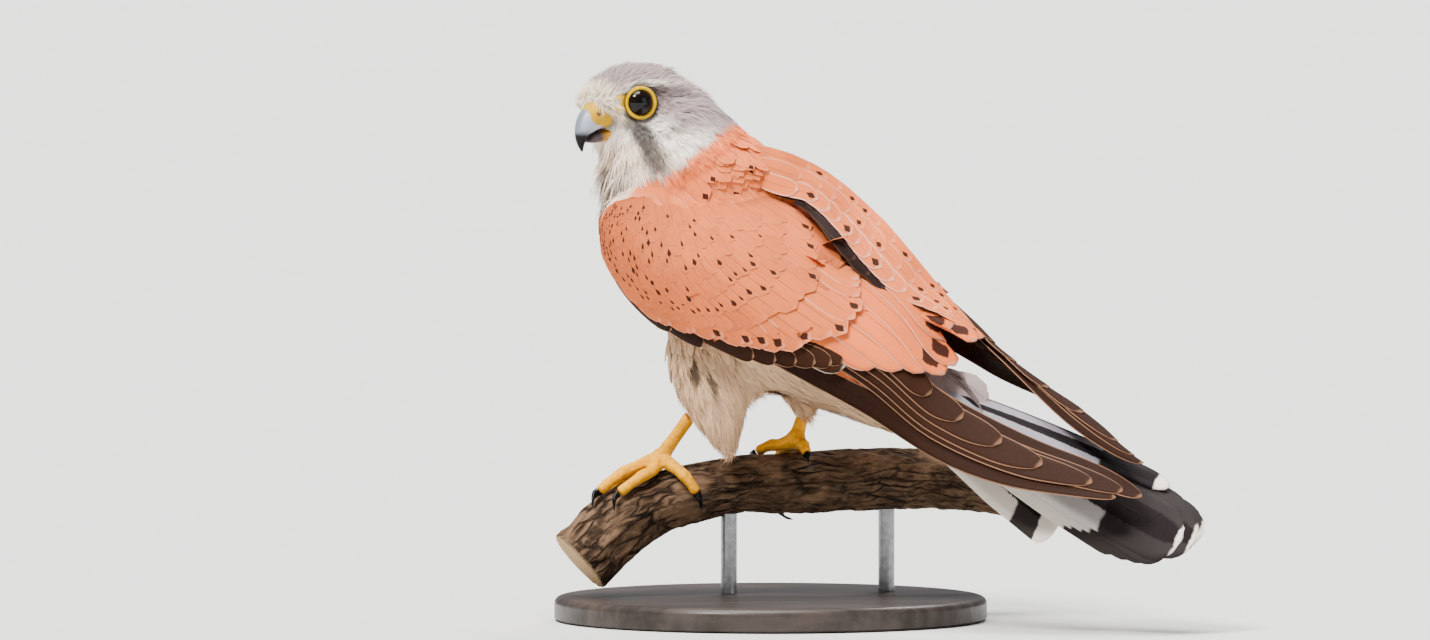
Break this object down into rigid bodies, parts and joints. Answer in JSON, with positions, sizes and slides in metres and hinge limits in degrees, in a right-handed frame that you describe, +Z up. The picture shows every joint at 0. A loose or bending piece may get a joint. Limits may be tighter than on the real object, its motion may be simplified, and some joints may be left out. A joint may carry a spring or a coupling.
{
  "type": "perched kestrel model",
  "caption": "Life-size falcon model gripping a short cut branch, head turned over its left shoulder, on a plain display stand.",
  "frame": {"origin": "centre of the underside of the display stand's round base", "axes": "+Z up out of the base; the branch runs mostly along +X and the bird's body faces -X and 30 degrees towards +Y"},
  "size_m": [0.2397, 0.1725, 0.2047],
  "materials": {
    "plumage_chestnut": "soft feather",
    "plumage_grey": "soft feather",
    "plumage_buff": "soft feather",
    "plumage_tail": "smooth vane",
    "flight_secondary": "smooth vane",
    "flight_primary": "smooth vane",
    "alula": "smooth vane",
    "eye": "wet gloss",
    "cere": "waxy",
    "bill": "horn, satin",
    "foot": "scaly skin",
    "claw": "horn, satin",
    "bark": "rough bark",
    "stand": "satin paint"
  },
  "bodies": {
    "root": {"bill_lower": "bill", "bill_upper": "bill", "cere": "cere", "claw_left_1": "claw", "claw_left_2": "claw", "claw_left_3": "claw", "claw_left_4": "claw", "claw_right_1": "claw", "claw_right_2": "claw", "claw_right_3": "claw", "claw_right_4": "claw", "eye_left": "eye", "eye_right": "eye", "foot_left": "foot", "foot_right": "foot", "head": "plumage_grey", "neck": "plumage_grey", "perch_branch": "bark", "rump": "plumage_chestnut", "stand_base": "stand", "stand_rod_1": "stand", "stand_rod_2": "stand", "tail_feathers": "plumage_tail", "thigh_left": "plumage_buff", "thigh_right": "plumage_buff", "torso": "plumage_chestnut", "wing_left_alula": "alula", "wing_left_coverts": "plumage_chestnut", "wing_left_primaries": "flight_primary", "wing_left_secondaries": "flight_secondary", "wing_right_alula": "alula", "wing_right_coverts": "plumage_chestnut", "wing_right_primaries": "flight_primary", "wing_right_secondaries": "flight_secondary"}
  },
  "joints": []
}
